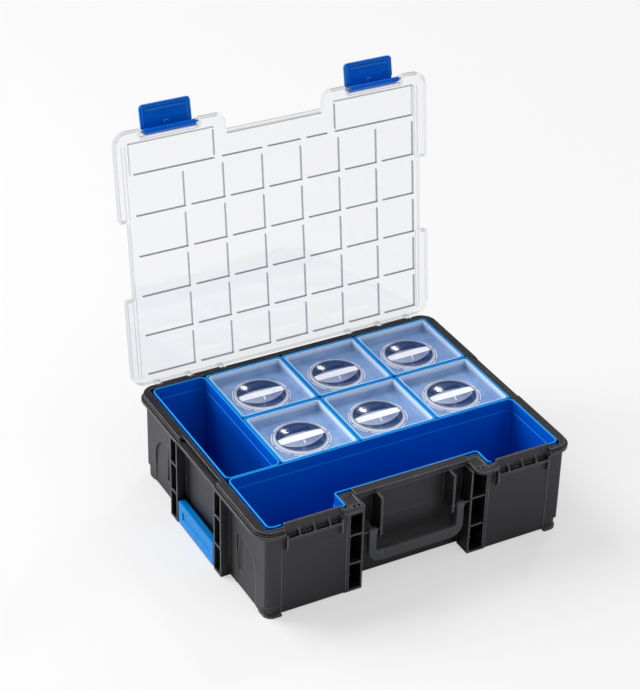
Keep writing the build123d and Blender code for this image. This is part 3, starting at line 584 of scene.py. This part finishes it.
# dish, neck and the hollow below it in one closed section
def knobDish():
    s = knobSizes
    floor = s["top"] - s["depth"]
    r = np.linspace(0.4, s["dish"], 22)
    above = np.stack([r, dishZ(r)], 1)
    below = softLine([(s["dish"] + 0.3, s["low"] + 0.4, 0), (s["neck"], s["low"] + 0.2, 0.2),
                      (s["neck"], s["neckLow"], 0.4), (s["neckIn"], s["neckLow"], 0.4),
                      (s["neckIn"], floor + 2.2, 0.8), (s["neckIn"] / 2, floor - 0.4, 3.0),
                      (2, floor - 1.4, 1.0), (0.4, floor - 1.4, 0)])
    return shell(revolve(np.vstack([above, below]), 96))


# the ring on the tray, its top edges rounded and its side leaning out
def knobRing():
    s = knobSizes
    section = softLine([(s["dish"] + 0.2, s["low"] + 0.5, 0), (s["dish"] - 0.1, s["top"], 0.5),
                        (s["ring"], s["top"], 0.7), (s["skirt"], s["low"], 0.3),
                        (s["skirt"] - 2.2, s["low"], 0)])
    return shell(revolve(section, 96), closeRows=True)


# the grip web: half width w(x) = end + (middle - end) (1 - (x/R)^2) at its crowned top, and a foot that is
# wider by foot * (1 - (x/R)^2) where it meets the dish
def knobWeb():
    s = knobSizes
    reach = s["dish"] - 0.2
    x = np.linspace(-reach, reach, 41)
    bulge = 1 - (x / reach) ** 2
    edge = np.sqrt(np.maximum((s["dish"] + 0.2) ** 2 - x ** 2, 4.0))
    w = np.minimum(s["webEnd"] + (s["webMiddle"] - s["webEnd"]) * bulge, edge)
    foot = np.minimum(w + s["webFoot"] * bulge, edge)
    top = s["top"] - 0.4 + s["crown"] * bulge
    low = np.minimum(dishZ(np.hypot(x, foot)) - 0.3, top - 1.0)
    section = [(-foot, low), (-w - 0.4, top - 0.55), (-w, top - 0.12), (-0.9 * w, top), (0 * w, top + 0.05),
               (0.9 * w, top), (w, top - 0.12), (w + 0.4, top - 0.55), (foot, low)]
    return shell(np.stack([np.stack([x, y, z], -1) for y, z in section], 1))


# a short raised line down the middle of the web's near slope
def knobPointer():
    s = knobSizes
    y = np.array([-s["webMiddle"] + 0.6, -s["webMiddle"] - s["webFoot"] * 0.62])
    z = np.array([s["top"] + 0.1, s["top"] - s["depth"] * 0.62 + 0.4])
    corners = [(-0.8, -1.2), (0.8, -1.2), (0.8, 0.3), (0.5, 0.6), (-0.5, 0.6), (-0.8, 0.3)]
    return shell(np.stack([np.stack([np.full(2, x), y, z + up], -1) for x, up in corners], 1))


# one shell moved to its place on the grid
def placed(made, move):
    return made[0] + move, made[1]


# a box, its tray with marks, and its knob's dish, ring and web, at each row and column
def makeBoxes():
    s, half = boxSizes, binSizes["module"] - boxSizes["gap"]
    outline = boxOutline(-half, half, -half, half, s["corner"])
    boxGrid = carry(outline, binProfile(s["wall"]))
    tray, marks, dish = trayShell(), dialMarks(), knobDish()
    ring, web, pointer = knobRing(), knobWeb(), knobPointer()
    for row, y in s["rows"]:
        for column, x in s["columns"]:
            place = f"{row}_{column}"
            move = np.array([x, y, 0.0])
            boxBody, trayBody, knobBody = (f"{kind}_{place}_body" for kind in ("box", "tray", "knob"))
            for name, parts, material, body, replaced, slot, sharp in (
                    ("box_body", [shell(boxGrid)], binPlastic, boxBody, [f"box_{place}"], "bin_blue", 40),
                    ("tray_body", [tray], trayFrosted, trayBody, [f"tray_{place}"], "tray_frosted", 40),
                    ("tray_marks", marks, markFrosted, trayBody, (), "tray_frosted", 40),
                    ("knob_dish", [dish], dishClear, knobBody, [f"knob_{place}"], "knob_clear", 60),
                    ("knob_ring", [ring, pointer], ringFrosted, knobBody, (), "knob_clear", 50),
                    ("knob_grip", [web], webFrosted, knobBody, (), "knob_clear", 40)):
                moved = [placed(part, move) for part in parts]
                makePiece(f"{name}_{place}", moved, material, body, replaced, sharp)


makeBoxes()
print("bins, boxes, trays and knobs made")


# lid, drawn closed and turned open
lidSizes = {"x": 218.2, "front": -166.2, "rear": 176.5, "corner": 18.0, "tip": 14.0, "notchX": 67.6,
            "notchY": -142.6, "stepX": 207.0, "frontStep": 49.5, "rearStep": 54.9, "top": 136.0,
            "under": 133.5, "edge": 127.4, "skirt": 2.5, "bayX": (104.0, 183.0), "bayY": -155.4,
            "bayZ": 129.4, "hoodX": 78.8, "hoodY": -140.0, "hoodZ": 131.4,
            "hingeY": 177.5, "hingeZ": 124.0, "open": 96.27, "lugs": (94.4, 140.1, 183.9), "lugHalf": 3.5,
            "lugR": 3.4, "module": 54.5, "ribX0": -128.5, "ribY0": 163.6, "ribLow": 129.4,
            "ribWidth": 1.0, "ribBreak": 9.0, "ribStart": -194.0, "shortX": 85, "shortFront": -146,
            "lastRow": ((-194.0, -85.0), (-74.0, -19.0), (-10.5, 35.5), (44.5, 74.0), (85.0, 198.0)),
            "notchLine": (66, -137.9), "tabIn": 84.3, "tabRear": 198.7, "tabFront": 199.4, "tabY": -149.3,
            "sideLines": (207.0, 202.6), "sideFront": -147, "sideRear": 168, "sideWidth": 0.8,
            "sideDeep": 1.6, "lugTop": 134.9, "latchY": -162.2, "latchZ": 130.2, "latchOpen": 95.1,
            "latchLugX": ((104.0, 107.7), (178.3, 182.0)), "latchLugTop": 135.6}


# a part drawn closed, turned open about the hinge
def openLid(made):
    s = lidSizes
    return turnX(made[0], s["hingeY"], s["hingeZ"], -s["open"]), made[1]


# the lid's plan: notch, latch bays and side steps on one half, then the same mirrored
def lidOutline():
    s = lidSizes
    b0, b1 = s["bayX"]
    half = [(s["notchX"], s["notchY"], 4), (s["notchX"], s["front"], s["tip"]), (b0, s["front"], 1),
            (b0, s["bayY"], 1.5), (b1, s["bayY"], 1.5), (b1, s["front"], 1),
            (s["x"], s["front"], s["corner"]), (s["x"], -s["frontStep"], 3),
            (s["stepX"], -s["frontStep"], 5), (s["stepX"], s["rearStep"], 5),
            (s["x"], s["rearStep"], 3), (s["x"], s["rear"], s["corner"])]
    return roundedOutline(half + [(-x, y, r) for x, y, r in reversed(half)], 7)


# the plate and its skirt, which is shorter over the hood and round the latch bays: z = max(z, hoodZ or bayZ)
def lidShell():
    s = lidSizes
    section = softLine([(-6, s["under"], 0), (-s["skirt"], s["under"], 0.8), (-s["skirt"], s["edge"], 0.5),
                        (0, s["edge"], 0.6), (0, s["top"], 1.3), (-6, s["top"], 0)])
    grid = carry(lidOutline(), section)
    x, y, z = abs(grid[..., 0]), grid[..., 1], grid[..., 2]
    overHood = (x < s["hoodX"]) & (y < s["hoodY"] + 2)
    atBay = (x > s["bayX"][0] - 4) & (x < s["bayX"][1] + 4) & (y < s["bayY"] + 4)
    grid[..., 2] = np.where(overHood, np.maximum(z, s["hoodZ"]), np.where(atBay, np.maximum(z, s["bayZ"]), z))
    return shell(grid)


# the divider ribs: lines a module apart both ways, each stopping short of the next crossing by ribBreak
def lidRibs():
    s = lidSizes
    xs = s["ribX0"] + s["module"] * np.arange(7)
    ys = s["ribY0"] - s["module"] * np.arange(6)
    starts = np.concatenate([[s["ribStart"]], xs[:-1] + s["ribBreak"]])
    lines = [((a, y), (b + 0.6, y)) for y in ys[:-1] for a, b in zip(starts, xs)]
    lines += [((a, ys[-1]), (b, ys[-1])) for a, b in s["lastRow"]]
    lines += [((x, front + s["ribBreak"]), (x, rear)) for x in xs for rear, front in zip(ys[:-1], ys[1:])]
    lines += [((x, s["shortFront"]), (x, ys[-1] - 4)) for x in (-s["shortX"], s["shortX"])]
    a, b = zip(*lines)
    return bars(a, b, s["ribWidth"], s["under"] + 0.2, s["ribLow"])


# fainter lines: the tab frames, the flange behind the notch and the steps along the sides
def lidFlanges():
    s = lidSizes
    last, high = s["ribY0"] - 5 * s["module"], s["under"] + 0.2
    x, y = s["notchLine"]
    made = bars([(-x, y)], [(x, y)], 1.2, high, s["ribLow"])
    for side in (-1, 1):
        a = [(s["tabRear"] * side, s["tabY"]), (s["tabIn"] * side, s["tabY"])]
        b = [(s["tabRear"] * side, last), (s["tabFront"] * side, s["tabY"])]
        made += bars(a, b, s["ribWidth"], high, s["ribLow"])
        for x in s["sideLines"]:
            a = [(x * side, s["sideFront"]), (x * side, s["rearStep"])]
            b = [(x * side, -s["frontStep"]), (x * side, s["sideRear"])]
            made += bars(a, b, s["sideWidth"], high, high - s["sideDeep"])
    return made


# the hinge lugs: an outline in the lid's side plane, given its width with softened edges
def lidLugs():
    s = lidSizes
    y, z, r = s["hingeY"], s["hingeZ"], s["lugR"]
    outline = roundedOutline([(y - r, z - r, r - 0.05), (y + r, z - r, r - 0.05), (y + r, 126.8, 1.0),
                              (177.2, 134.6, 1.0), (y - r, s["lugTop"], 0.5)], 7)
    edge = softLine([(-1.5, -s["lugHalf"], 0), (0, -s["lugHalf"], 0.5), (0, s["lugHalf"], 0.5),
                     (-1.5, s["lugHalf"], 0)], 4)
    grid = carry(outline, edge, "yzx")
    return [shell(grid + np.array([x * side, 0.0, 0.0])) for x in s["lugs"] for side in (-1, 1)]


# the lugs that hold the latch pins, one at each end of a latch bay
def latchLugs():
    s = lidSizes
    y, z = s["latchY"], s["latchZ"]
    outline = roundedOutline([(y - 2.8, z - 2.8, 2.6), (y + 2.8, z - 2.8, 2.6), (y + 7.0, z - 1.0, 0.8),
                              (y + 7.0, s["latchLugTop"], 0.6), (y - 2.8, s["latchLugTop"], 1.6)], 6)
    made = []
    for low, high in s["latchLugX"]:
        edge = softLine([(-1.2, low, 0), (0, low, 0.5), (0, high, 0.5), (-1.2, high, 0)], 4)
        grid = carry(outline, edge, "yzx")
        made += [shell(grid), shell(mirrored(grid))]
    return made


# mirrored rays pass the clear pieces by, so that the dishes show their sun whole
def makeLid():
    shells = [lidShell()] + lidLugs() + latchLugs()
    for name, parts, material, replaced in (("lid_shell", shells, lidClear, ["lid_cover"]),
                                            ("lid_ribs", lidRibs(), ribClear, ()),
                                            ("lid_flanges", lidFlanges(), flangeClear, ())):
        piece = makePiece(name, [openLid(part) for part in parts], material, "lid", replaced, 40)
        piece.visible_glossy = False


makeLid()
print("lid made")


# latches, drawn closed, turned open about their pins and then with the lid
latchSizes = {"x": (107.2, 175.8), "barrelX": (108.0, 178.0), "radius": 3.1, "tip": 100.8, "top": 135.8,
              "plateIn": -174.8, "plateOut": -177.2, "corner": 5.5, "frame": 3.6, "sink": 0.9, "border": 1.1,
              "ribRoom": 2.1, "hookZ": (107.1, 109.1)}


# a latch part drawn closed, turned open about its pin and then with the lid
def openLatch(made):
    s = lidSizes
    return openLid((turnX(made[0], s["latchY"], s["latchZ"], -s["latchOpen"]), made[1]))


# the plate with its sunk face, the bridge over the lid's edge, the barrel, the raised border and the hook
def latchShells():
    s, lid = latchSizes, lidSizes
    x0, x1 = s["x"]
    plate = boxOutline(x0, x1, s["tip"], 134.0, s["corner"], 7)
    section = softLine([(-8, s["plateIn"], 0), (0, s["plateIn"], 0.5), (0, s["plateOut"], 0.7),
                        (-s["frame"], s["plateOut"], 0.4), (-s["frame"] - 0.7, s["plateOut"] + s["sink"], 0.4),
                        (-8, s["plateOut"] + s["sink"], 0)], 4)
    made = [shell(carry(plate, section, "xzy"))]
    bridge = roundedOutline([(lid["latchY"] + 1.2, 132.2, 0.3), (lid["latchY"] + 1.2, 133.4, 0.5),
                             (lid["latchY"] - 1, s["top"], 0.6), (s["plateOut"] + 1.6, s["top"], 1.2),
                             (s["plateOut"] + 0.2, 133.4, 0.6), (lid["latchY"] - 2.4, 133.3, 0.3)], 4)
    ends = softLine([(-0.8, x0, 0), (0, x0, 0.4), (0, x1, 0.4), (-0.8, x1, 0)], 4)
    made.append(shell(carry(bridge, ends, "yzx")))
    turn = np.linspace(0, 2 * math.pi, 33)[:-1]
    b0, b1 = s["barrelX"]
    barrel = softLine([(0.8, b0, 0), (s["radius"], b0, 0.5), (s["radius"], b1, 0.5), (0.8, b1, 0)], 4)
    grid = np.stack([np.broadcast_to(barrel[:, None, 1], (len(barrel), 32)),
                     lid["latchY"] + barrel[:, None, 0] * np.cos(turn),
                     lid["latchZ"] + barrel[:, None, 0] * np.sin(turn)], -1)
    made.append(shell(grid))
    inset, face = s["frame"], s["plateIn"] + s["border"]
    near = x0 + s["ribRoom"]
    for a, b, low, high in ((near, near + inset, s["tip"] + 2, 127), (x1 - inset, x1, s["tip"] + 2, 127),
                            (near, x1 - 2, s["tip"], s["tip"] + inset), (139.0, 144.5, 124.5, 128.5)):
        strip = boxOutline(a, b, low, high, 0.9, 3)
        rise = [(-0.8, s["plateIn"] - 0.4), (0, s["plateIn"] - 0.4), (0, face), (-0.8, face)]
        made.append(shell(carry(strip, rise, "xzy")))
    hook = boxOutline(116, 168, s["plateIn"] - 0.3, -171.3, 0.6, 4)
    low, high = s["hookZ"]
    rise = softLine([(-0.5, low, 0), (0, low, 0.3), (0, high, 0.3), (-0.5, high, 0)], 3)
    made.append(shell(carry(hook, rise)))
    return made


# the left latch is the right one mirrored
def makeLatches():
    made = latchShells()
    for side, flip in (("left", True), ("right", False)):
        turned = [openLatch((mirrored(p) if flip else p, f)) for p, f in made]
        makePiece(f"latch_body_{side}", turned, latchPlastic, f"latch_{side}_body", [f"latch_{side}"],
                  40)


makeLatches()
print("latches made")


# side clips
clipSizes = {"corner": 2.0, "edge": 1.2, "frame": 10.5, "slope": 1.2, "sink": 1.8}


# a rounded block with a long recess in its face, between the CAD clip's own limits; the left one is mirrored
def makeClips():
    s = clipSizes
    low, high = (np.array(corner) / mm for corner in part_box("side_clip_right"))
    face = boxOutline(low[1], high[1], low[2], high[2], s["corner"], 5)
    section = softLine([(-8, low[0], 0), (-1.5, low[0], 0.8), (0, low[0] + 2, 0.8), (0, high[0], s["edge"]),
                        (-s["frame"], high[0], 0.3), (-s["frame"] - s["slope"], high[0] - s["sink"], 0.3),
                        (-s["frame"] - 3, high[0] - s["sink"], 0)], 4)
    grid = carry(face, section, "yzx")
    for side, made in (("left", mirrored(grid)), ("right", grid)):
        makePiece(f"clip_body_{side}", [shell(made)], clipPlastic, f"clip_{side}_body", [f"side_clip_{side}"],
                  40)


makeClips()
print("side clips made")


# handle: a rounded section carried along a U, with a knuckle at the top of each arm
handleSizes = {"y": -162.5, "z": 78.5, "armIn": 55.6, "armOut": 66.2, "thick": 9.0, "grip": 47.3, "low": 32.7,
               "high": 49.3, "outerBend": 17.0, "innerBend": 4.0}


# rounded-box section: |a|^n + |b|^n = 1, with n = power
def squircle(steps=32, power=4.0):
    t = np.linspace(0, 2 * math.pi, steps, endpoint=False)
    c, s = np.cos(t), np.sin(t)
    return np.stack([np.sign(c) * abs(c) ** (2 / power), np.sign(s) * abs(s) ** (2 / power)], 1)


# the arm from its knuckle down and round to the grip: the middle is (outer + inner) / 2, the half width
# (outer - inner) / 2
def handleArm():
    s = handleSizes
    t = np.linspace(0, 1, 30)
    outer, inner = (evenly(softLine([(x, s["z"], 0), (x, z, bend), (s["grip"], z, 0)], 16), t)
                    for x, z, bend in ((s["armOut"], s["low"], s["outerBend"]),
                                       (s["armIn"], s["high"], s["innerBend"])))
    middle, half = (outer + inner) / 2, (outer - inner) / 2
    section = squircle()
    grid = middle[:, None] + half[:, None] * section[None, :, :1]
    depth = np.broadcast_to(s["y"] + section[None, :, 1:] * s["thick"] / 2, grid.shape[:2] + (1,))
    return shell(np.concatenate([grid[..., :1], depth, grid[..., 1:]], -1))


# points at even shares t of a polyline's length
def evenly(line, t):
    length = np.concatenate([[0], np.cumsum(np.linalg.norm(np.diff(line, axis=0), axis=1))])
    return np.stack([np.interp(t * length[-1], length, line[:, i]) for i in range(2)], 1)


# the round eye at the top of an arm: a profile turned about the handle's pin
def handleKnuckle():
    s = handleSizes
    turn = np.linspace(0, 2 * math.pi, 32, endpoint=False)
    half = s["thick"] / 2
    line = softLine([(1.6, s["armIn"], 0), (half, s["armIn"], 0.7), (half, s["armOut"], 0.7),
                     (1.6, s["armOut"], 0)], 4)
    r, x = line[:, None, 0], np.broadcast_to(line[:, None, 1], (len(line), 32))
    return shell(np.stack([x, s["y"] + r * np.cos(turn), s["z"] + r * np.sin(turn)], -1))


# the sleeve on the crossbar: one squared section along X, drawn in at both ends
def gripSleeve():
    s = handleSizes
    end = s["grip"]
    x = np.array([-end, 0.3 - end, 0.9 - end, -20, 0, 20, end - 0.9, end - 0.3, end])
    scale = np.array([0.86, 0.95, 1, 1, 1, 1, 1, 0.95, 0.86])
    section = squircle(power=5.0)
    middle = (s["low"] + s["high"]) / 2
    y = s["y"] + scale[:, None] * section[:, 1] * s["thick"] / 2
    z = middle + scale[:, None] * section[:, 0] * (s["high"] - s["low"]) / 2
    return shell(np.stack([np.broadcast_to(x[:, None], y.shape), y, z], -1))


# arms and knuckles on both halves, and the sleeve
def makeHandle():
    arm, knuckle = handleArm(), handleKnuckle()
    parts = [arm, knuckle, (mirrored(arm[0]), arm[1]), (mirrored(knuckle[0]), knuckle[1])]
    makePiece("handle_arms", parts, handlePlastic, "handle", ["handle_bail"], 40)
    makePiece("grip_sleeve", [gripSleeve()], gripRubber, "handle", ["handle_grip"], 40)


makeHandle()
print("handle made")


# what stays from the CAD takes its finish here
def dressNodes():
    finish = {"base_tub": (casePlastic, "case_body")}
    for side in ("left", "right"):
        finish[f"handle_pin_{side}"] = (handlePlastic, "handle_body")
        for pin in ("hinge_pin", "latch_pin", "clip_pin"):
            finish[f"{pin}_{side}"] = (steel, "pin_steel")
    for row, _ in boxSizes["rows"]:
        for column, _ in boxSizes["columns"]:
            finish[f"retainer_{row}_{column}"] = (retainerFrosted, "knob_ring")
    for node, (material, slot) in finish.items():
        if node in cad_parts:
            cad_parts[node].data.materials.clear()
            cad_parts[node].data.materials.append(material)


dressNodes()


# floor and light: paper that shows a little of its own white to the camera, a room that is dark in mirrored
# rays, a lamp along the left side, a wide sun from the rear left, a weaker one from the front, and a small
# one from the rear right that the dishes mirror
stageSizes = {"floor": 9.0, "floorColour": (0.70, 0.70, 0.704), "floorRough": 0.7, "floorShine": 0.15,
              "world": 0.52, "sky": (0.975, 0.965, 1.0), "mirrored": 0.10, "backdrop": 0.97, "paper": 0.985,
              "paperShare": 0.52, "middle": (0, 0, 0.12)}
lampList = [{"name": "sideLamp", "at": (-2.4, 1.5, 0.75), "size": (1.6, 1.2), "watts": 62.0}]
sunList = [{"name": "keySun", "at": (-0.5, 0.75, 1.05), "spread": 34.0, "level": 1.95},
           {"name": "frontSun", "at": (0.25, -0.75, 0.8), "spread": 60.0, "level": 0.65},
           {"name": "dishSun", "at": (1.242, 0.98, 1.70), "spread": 6.0, "level": 0.37}]
cameraSizes = {"aim": (0.0, 0.0877, 0.1829), "distance": 2.6064, "azimuth": -28.93, "elevation": 31.84,
               "roll": 1.45, "lens": 107.31}


# the floor, which is stage, and the room's light
def makeStage():
    s = stageSizes
    half = s["floor"] / 2
    mesh = bpy.data.meshes.new("floor")
    corners = [(-half, -half, 0), (half, -half, 0), (half, half, 0), (-half, half, 0)]
    mesh.from_pydata(corners, [], [(0, 1, 2, 3)])
    floor = bpy.data.objects.new("floor", mesh)
    bpy.context.scene.collection.objects.link(floor)
    material, nodes, links, surface = newMaterial("floorPaper")
    surface.inputs["Base Color"].default_value = (*s["floorColour"], 1)
    surface.inputs["Roughness"].default_value = s["floorRough"]
    surface.inputs["Specular IOR Level"].default_value = s["floorShine"]
    glow = nodes.new("ShaderNodeEmission")
    glow.inputs["Color"].default_value = (1, 1, 1, 1)
    glow.inputs["Strength"].default_value = s["paper"]
    ray = nodes.new("ShaderNodeLightPath")
    mix = nodes.new("ShaderNodeMixShader")
    links.new(mapped(nodes, links, ray.outputs["Is Camera Ray"], 0, s["paperShare"], 0, 1), mix.inputs[0])
    links.new(surface.outputs["BSDF"], mix.inputs[1])
    links.new(glow.outputs["Emission"], mix.inputs[2])
    links.new(mix.outputs["Shader"], nodes["Material Output"].inputs["Surface"])
    mesh.materials.append(material)
    world = bpy.data.worlds.new("studio")
    world.use_nodes = True
    bpy.context.scene.world = world
    nodes, links = world.node_tree.nodes, world.node_tree.links
    ray = nodes.new("ShaderNodeLightPath")
    nodes["Background"].inputs["Color"].default_value = (*s["sky"], 1)
    room = mapped(nodes, links, ray.outputs["Is Glossy Ray"], s["world"], s["mirrored"], 0, 1)
    seen = mapped(nodes, links, ray.outputs["Is Camera Ray"], 0, s["backdrop"], 0, 1)
    links.new(larger(nodes, links, room, seen), nodes["Background"].inputs["Strength"])


# a lamp looks from its place at the middle of the case
def placeLamp(data, at):
    made = bpy.data.objects.new(data.name, data)
    bpy.context.scene.collection.objects.link(made)
    made.location = at
    made.rotation_mode = "QUATERNION"
    made.rotation_quaternion = (Vector(stageSizes["middle"]) - Vector(at)).to_track_quat("-Z", "Y")
    return made


# the side lamp isn't mirrored by anything, so the closed lid doesn't glare
def makeLamps():
    for lamp in lampList:
        data = bpy.data.lights.new(lamp["name"], "AREA")
        data.shape = "RECTANGLE"
        data.size, data.size_y = lamp["size"]
        data.energy = lamp["watts"]
        placeLamp(data, lamp["at"]).visible_glossy = False
    for sun in sunList:
        data = bpy.data.lights.new(sun["name"], "SUN")
        data.angle = math.radians(sun["spread"])
        data.energy = sun["level"]
        placeLamp(data, sun["at"])


# camera: back vector from azimuth and elevation, then turned by roll about it
def makeCamera():
    s = cameraSizes
    a, e = math.radians(s["azimuth"]), math.radians(s["elevation"])
    back = Vector((math.sin(a) * math.cos(e), -math.cos(a) * math.cos(e), math.sin(e)))
    level = Vector((math.cos(a), math.sin(a), 0))
    upright = back.cross(level)
    roll = math.radians(s["roll"])
    right = level * math.cos(roll) + upright * math.sin(roll)
    up = back.cross(right)
    data = bpy.data.cameras.new("camera")
    camera = bpy.data.objects.new("camera", data)
    bpy.context.scene.collection.objects.link(camera)
    data.lens = s["lens"]
    data.sensor_width = 36.0
    data.sensor_fit = "AUTO"
    data.clip_start, data.clip_end = 0.05, 50
    camera.matrix_world = Matrix((
        (right.x, up.x, back.x, s["aim"][0] + back.x * s["distance"]),
        (right.y, up.y, back.y, s["aim"][1] + back.y * s["distance"]),
        (right.z, up.z, back.z, s["aim"][2] + back.z * s["distance"]), (0, 0, 0, 1)))
    bpy.context.scene.camera = camera


makeStage()
makeLamps()
makeCamera()
bpy.context.scene.view_settings.view_transform = "Standard"
print("stage, lamps and camera made")
